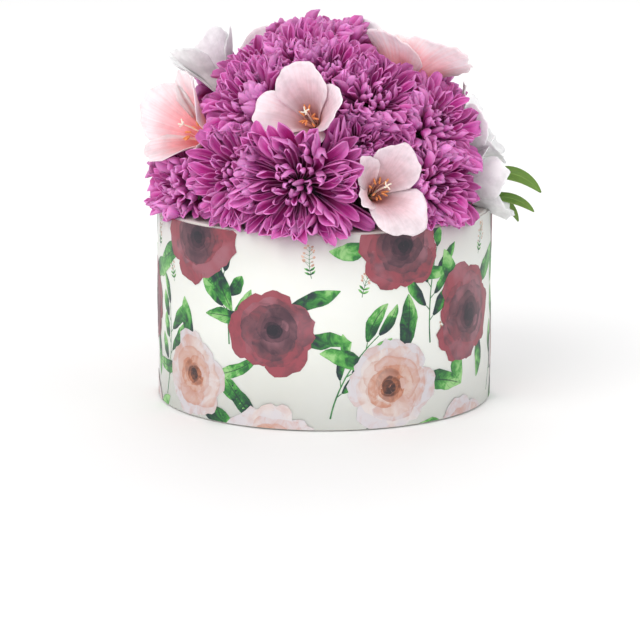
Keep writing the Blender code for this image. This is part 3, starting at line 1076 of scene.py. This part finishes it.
def pad_material():
    """Dark rough mound that is only seen between the flowers; its near-black colours are painted
    shade.
    """
    made, tree, surface = new_material("pad")
    rough = noisy(tree, spot_of(tree), 160.0, 5.0, 0.65)
    # Near-black plum and green: painted shade in the gaps between the flowers.
    shades = [(0.3, (0.012, 0.004, 0.010)), (0.5, (0.04, 0.008, 0.03)), (0.7, (0.03, 0.05, 0.012))]
    set_inputs(surface, {
        "Base Color": ramp(tree, rough, shades), "Roughness": 0.85,
        "Normal": bump(tree, rough, 0.8, 0.002),
    })
    return made


def ink_finish(surface, colour):
    """Lays a painted colour on a surface as satin ink."""
    set_inputs(surface, {"Base Color": colour, "Roughness": 0.42, "Subsurface Weight": 0.0})


# Of each painted bloom: its colours from the rim inwards, its thin wash and its pools.
BLOOMS = {
    "burgundy": (
        [
            (0.0, (0.27, 0.050, 0.070)), (0.14, (0.22, 0.046, 0.063)), (0.3, (0.135, 0.043, 0.058)),
            (0.5, (0.092, 0.036, 0.050)), (0.68, (0.058, 0.020, 0.034)),
            (0.84, (0.026, 0.011, 0.022)), (1.0, (0.008, 0.006, 0.014)),
        ],
        (0.32, 0.135, 0.17), (0.042, 0.018, 0.032),
    ),
    "blush": (
        [
            (0.0, (0.55, 0.52, 0.55)), (0.15, (0.54, 0.43, 0.43)), (0.32, (0.52, 0.33, 0.29)),
            (0.5, (0.52, 0.32, 0.26)), (0.66, (0.45, 0.17, 0.09)), (0.82, (0.22, 0.070, 0.035)),
            (1.0, (0.040, 0.018, 0.018)),
        ],
        (0.64, 0.58, 0.55), (0.44, 0.20, 0.15),
    ),
}


def bloom_material(kind):
    """Watercolour petals: a wash that pools at the foot and thins towards an uneven rim."""
    made, tree, surface = new_material("print_" + kind)
    rings, thin, deep = BLOOMS[kind]
    masks = place_group(tree, "bloom masks", bloom_group, {"Bleed scale": 130.0})
    body = ramp(tree, masks["Rings"], rings)
    for label, colour in (("Wash", thin), ("Pool", deep), ("Line", deep)):
        body = mixed(tree, masks[label], body, colour)
    ink_finish(surface, body)
    return made


def print_leaf_material():
    """Watercolour leaves: blue-black to bright green, some with painted veins."""
    made, tree, surface = new_material("print_leaves")
    along, across, first, own, extra = shade_parts(tree)
    cloud = noisy(tree, spot_of(tree), 170.0, 4.0, 0.6, 0.7)
    half = ranged(tree, extra, 0.0, 1.0, -0.35, 0.35, "LINEAR")
    flow = along
    for share in (
        ranged(tree, cloud, 0.3, 0.7, -0.32, 0.32), times(tree, across, half),
        ranged(tree, own, 0.0, 1.0, -0.22, 0.20, "LINEAR"),
    ):
        flow = sums(tree, "ADD", flow, share)
    body = ramp(tree, flow, [
        (0.0, (0.005, 0.018, 0.026)), (0.22, (0.008, 0.065, 0.024)), (0.45, (0.020, 0.165, 0.028)),
        (0.72, (0.075, 0.32, 0.055)), (1.0, (0.27, 0.52, 0.19)),
    ])
    veins = place_group(tree, "leaf veins", vein_group, {"Count": 6.0, "Slant": 1.6})
    side = veins["Side"]
    lines = ranged(tree, veins["Waves"], 0.45, 0.49)
    lines = sums(tree, "MAXIMUM", lines, ranged(tree, side, 0.05, 0.10, 1.0, 0.0))
    drawn = times(tree, lines, ranged(tree, first, 0.62, 0.66, 0.0, 0.8))
    body = mixed(tree, drawn, body, (0.006, 0.030, 0.022))
    body = mixed(tree, ranged(tree, side, 0.86, 0.98, 0.0, 0.35), body, (0.02, 0.13, 0.04))
    ink_finish(surface, body)
    return made


def print_line_material(name, low, high):
    """Thin painted lines and dots."""
    made, tree, surface = new_material(name)
    ink_finish(surface, mottled(tree, low, high, 260.0, 3.0)["Color"])
    return made


# Pieces.


def add_object(name, data, place=(0, 0, 0)):
    made = bpy.data.objects.new(name, data)
    made.location = place
    bpy.context.scene.collection.objects.link(made)
    return made


def add_mesh(name, bm, materials, place=(0, 0, 0)):
    """A new object with a finished mesh and its materials."""
    mesh = bpy.data.meshes.new(name)
    bm.to_mesh(mesh)
    bm.free()
    for made in materials:
        mesh.materials.append(made)
    return add_object(name, mesh, place)


def settle(name, bm, materials, nodes=(), thickness=0.0, back=0):
    """Makes the finished piece, rides it on the cake and hides the solids it stands for."""
    piece = add_mesh(name, bm, materials)
    piece.data.shade_smooth()
    if thickness:
        wall = piece.modifiers.new("thickness", "SOLIDIFY")
        wall.thickness = thickness
        wall.offset = -1
        wall.material_offset = back
    if nodes:
        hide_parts(*nodes)
    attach(piece, "root")


def length_property(name, description, default, low, high):
    return FloatProperty(
        name=name, description=description, default=default, min=low, max=high,
        subtype="DISTANCE", unit="LENGTH",
    )


def colour_property(name, description, default):
    return FloatVectorProperty(
        name=name, description=description, default=default, size=3, min=0.0, max=1.0,
        subtype="COLOR",
    )


class MumSettings(bpy.types.PropertyGroup):
    petals: IntProperty(
        name="Petals", description="Petals on a full-size mum", default=138, min=30, max=400
    )
    reach: length_property(
        "Reach", "Length from the heart of a mum to its outermost petal tips", 0.0320, 0.01, 0.06
    )


class CupSettings(bpy.types.PropertyGroup):
    thickness: length_property(
        "Petal thickness", "Thickness of the broad petals of the cup flowers", 0.0004, 0.0001, 0.002
    )


class PrintSettings(bpy.types.PropertyGroup):
    columns: IntProperty(
        name="Columns", description="Columns of painted blooms round the cake",
        default=10, min=4, max=20,
    )
    seed: IntProperty(name="Seed", description="Seed of the painted layout", default=4, min=0)


class StageSettings(bpy.types.PropertyGroup):
    distance: length_property(
        "Camera distance", "How far the camera stands in front of the cake", 1.6, 0.5, 5.0
    )
    height: length_property(
        "Camera height", "Height of the camera over the cake's underside", 0.3842, 0.0, 3.0
    )
    pitch: FloatProperty(
        name="Camera pitch", description="How far the camera looks down",
        default=math.radians(12.25), min=0.0, max=1.5, subtype="ANGLE", unit="ROTATION",
    )


class ColourSettings(bpy.types.PropertyGroup):
    icing: colour_property("Icing", "Icing on the cake's top", (0.76, 0.745, 0.69))
    sleeve: colour_property("Sleeve", "Ground of the printed sleeve", (0.765, 0.77, 0.725))
    mum: colour_property("Mums", "Face of a mum's petals", (0.51, 0.036, 0.305))
    mum_back: colour_property("Mum backs", "Back of a mum's petals", (0.56, 0.090, 0.39))
    blush: colour_property("Blush flowers", "Petals of the blush flowers", (0.84, 0.57, 0.63))
    coral: colour_property("Coral flowers", "Petals of the coral flowers", (0.95, 0.49, 0.53))
    white: colour_property("White flowers", "Petals of the white flowers", (0.95, 0.95, 0.96))
    leaf: colour_property("Leaves", "Leaves under the flowers", (0.085, 0.19, 0.016))


class CakeSettings(bpy.types.PropertyGroup):
    mums: PointerProperty(name="Mums", description="Many-petalled heads", type=MumSettings)
    cups: PointerProperty(name="Cups", description="Broad-petalled flowers", type=CupSettings)
    motifs: PointerProperty(name="Print", description="Painted motifs", type=PrintSettings)
    colours: PointerProperty(
        name="Colours", description="Colours of the pieces", type=ColourSettings
    )
    stage: PointerProperty(name="Stage", description="Floor, lights and camera", type=StageSettings)


class CAKE_OT_body(bpy.types.Operator):
    """Give the iced cake and the mound under the flowers their materials"""

    bl_idname = "floral_cake.body"
    bl_label = "Cake body"

    def execute(self, context):
        icing = icing_material("icing", (0.72, 0.695, 0.635))
        for node, made in (("cake", icing), ("flower_pad", pad_material())):
            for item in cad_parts[node].material_slots:
                item.material = made
        return {"FINISHED"}


class CAKE_OT_print(bpy.types.Operator):
    """Wrap the printed sleeve round the cake and paint its motifs"""

    bl_idname = "floral_cake.print"
    bl_label = "Printed sleeve"

    def execute(self, context):
        settings = context.scene.floral_cake.motifs
        bm = bmesh.new()
        bmesh.ops.create_cone(
            bm, cap_ends=False, segments=256, radius1=WRAP_RADIUS, radius2=WRAP_RADIUS,
            depth=WRAP_TOP - WRAP_BOTTOM,
            matrix=Matrix.Translation((0, 0, (WRAP_TOP + WRAP_BOTTOM) / 2)),
        )
        sleeve = icing_material("sleeve", (0.73, 0.735, 0.68))
        settle("print_sleeve", bm, [sleeve], ["printed_wrap"], WRAP_THICKNESS)
        painted = {
            "burgundy": bloom_material("burgundy"),
            "blush": bloom_material("blush"),
            "leaves": print_leaf_material(),
            "stems": print_line_material("print_stems", (0.015, 0.10, 0.035), (0.06, 0.24, 0.07)),
            "buds": print_line_material("print_buds", (0.42, 0.24, 0.18), (0.66, 0.44, 0.34)),
        }
        for kind, bm in build_print(settings).items():
            settle("print_" + kind, bm, [painted[kind]])
        return {"FINISHED"}


class CAKE_OT_mums(bpy.types.Operator):
    """Build every many-petalled head"""

    bl_idname = "floral_cake.mums"
    bl_label = "Mums"

    def execute(self, context):
        settings = context.scene.floral_cake.mums
        places = head_places()
        materials = [petal_material("mum"), petal_material("mum_back")]
        shells = cup_shells(places)
        for name, _, _, size, _ in HEADS:
            if name.startswith("mum"):
                bm = build_mum(name, size, settings, places, shells)
                settle(name + "_petals", bm, materials, [name], MUM_THICKNESS, 1)
        return {"FINISHED"}


class CAKE_OT_cups(bpy.types.Operator):
    """Build every broad-petalled flower with its stamens"""

    bl_idname = "floral_cake.cups"
    bl_label = "Cup flowers"

    def execute(self, context):
        settings = context.scene.floral_cake.cups
        places = head_places()
        parts = [stamen_material(kind) for kind in STAMENS]
        for name, _, _, size, lift in HEADS:
            if name.startswith("mum"):
                continue
            kind = name.split("_")[0]
            bm = build_cup(name, size, lift, places)
            settle(name + "_petals", bm, [petal_material(kind)], [name], settings.thickness)
            stamens = name.replace("flower", "stamens")
            bm = build_stamens(name, size, lift, places)
            nodes = [stamens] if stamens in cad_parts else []
            settle(stamens + "_detail", bm, parts, nodes)
        return {"FINISHED"}


class CAKE_OT_leaves(bpy.types.Operator):
    """Build the leaves that reach out from under the flowers"""

    bl_idname = "floral_cake.leaves"
    bl_label = "Leaves"

    def execute(self, context):
        made = leaf_material()
        for name, *shape in LEAVES:
            bm = build_leaf(*shape)
            settle(name + "_blade", bm, [made], [name], LEAF_THICKNESS)
        return {"FINISHED"}


# The stage: how far the floor is under the cake, the point that the lights aim at, how bright the
# surroundings are, the camera's lens and sensor in millimetres, and its place to the side.
FLOOR_DROP = 0.0004
LIGHT_AIM = Vector((0, 0, 0.08))
SKY_STRENGTH = 0.84
CAMERA_LENS = 181.66
SENSOR_WIDTH = 36
CAMERA_SIDE = -0.00223
# Each light: its name, kind, place, size (an angle for the sun), power and colour.
LIGHTS = [
    ("key", "SUN", (-0.9, -1.1, 1.3), 0.7, 1.0, (1.0, 0.985, 0.96)),
    ("fill", "AREA", (1.3, -0.9, 0.6), 1.2, 2.5, (0.97, 0.985, 1.0)),
    ("back", "AREA", (0.1, 1.2, 1.1), 1.0, 4.0, (1.0, 1.0, 1.0)),
    ("front", "AREA", (-0.2, -1.6, 0.35), 1.2, 6.0, (1.0, 1.0, 1.0)),
]


class CAKE_OT_stage(bpy.types.Operator):
    """Set up the pale floor, the soft lights, the surroundings and the camera"""

    bl_idname = "floral_cake.stage"
    bl_label = "Stage"

    def execute(self, context):
        settings = context.scene.floral_cake.stage
        scene = context.scene
        made, _, surface = new_material("floor")
        set_inputs(surface, {"Base Color": (0.90, 0.90, 0.90), "Roughness": 0.7})
        bm = bmesh.new()
        bmesh.ops.create_grid(bm, x_segments=2, y_segments=2, size=4)
        floor = add_mesh("floor", bm, [made], (0, 0, -FLOOR_DROP))
        for name, kind, place, size, power, colour in LIGHTS:
            lamp = bpy.data.lights.new(name, kind)
            if kind == "SUN":
                lamp.angle = size
            else:
                lamp.shape = "SQUARE"
                lamp.size = size
            lamp.energy = power
            lamp.color = colour
            aim = LIGHT_AIM - Vector(place)
            add_object(name, lamp, place).rotation_euler = aim.to_track_quat("-Z", "Y").to_euler()
        world = bpy.data.worlds.new("surroundings")
        world.use_nodes = True
        sky = world.node_tree.nodes["Background"]
        set_inputs(sky, {"Color": (1.0, 1.0, 1.0), "Strength": SKY_STRENGTH})
        scene.world = world
        camera = bpy.data.cameras.new("camera")
        camera.lens = CAMERA_LENS
        camera.sensor_width = SENSOR_WIDTH
        camera.clip_end = 20
        place = (CAMERA_SIDE, -settings.distance, settings.height)
        scene.camera = add_object("camera", camera, place)
        scene.camera.rotation_euler = (math.pi / 2 - settings.pitch, 0, 0)
        scene.view_settings.view_transform = "Standard"
        return {"FINISHED"}


class CAKE_PT_panel(bpy.types.Panel):
    bl_label = "Floral cake"
    bl_idname = "CAKE_PT_panel"
    bl_space_type = "VIEW_3D"
    bl_region_type = "UI"
    bl_category = "Floral cake"

    def draw(self, context):
        settings = context.scene.floral_cake
        for label in settings.__annotations__:
            group = getattr(settings, label)
            box = self.layout.box()
            for key in group.__annotations__:
                box.prop(group, key)
        for operator in OPERATORS:
            self.layout.operator(operator.bl_idname)


GROUPS = [
    MumSettings, CupSettings, PrintSettings, StageSettings, ColourSettings, CakeSettings,
]
OPERATORS = [
    CAKE_OT_body, CAKE_OT_print, CAKE_OT_mums, CAKE_OT_cups, CAKE_OT_leaves, CAKE_OT_stage,
]
CLASSES = [*GROUPS, *OPERATORS, CAKE_PT_panel]


def register():
    for item in CLASSES:
        bpy.utils.register_class(item)
    bpy.types.Scene.floral_cake = PointerProperty(type=CakeSettings)


def unregister():
    del bpy.types.Scene.floral_cake
    for item in reversed(CLASSES):
        bpy.utils.unregister_class(item)


def main():
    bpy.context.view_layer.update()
    register()
    bpy.ops.floral_cake.body()
    bpy.ops.floral_cake.print()
    bpy.ops.floral_cake.mums()
    bpy.ops.floral_cake.cups()
    bpy.ops.floral_cake.leaves()
    bpy.ops.floral_cake.stage()


if __name__ == "__main__":
    main()
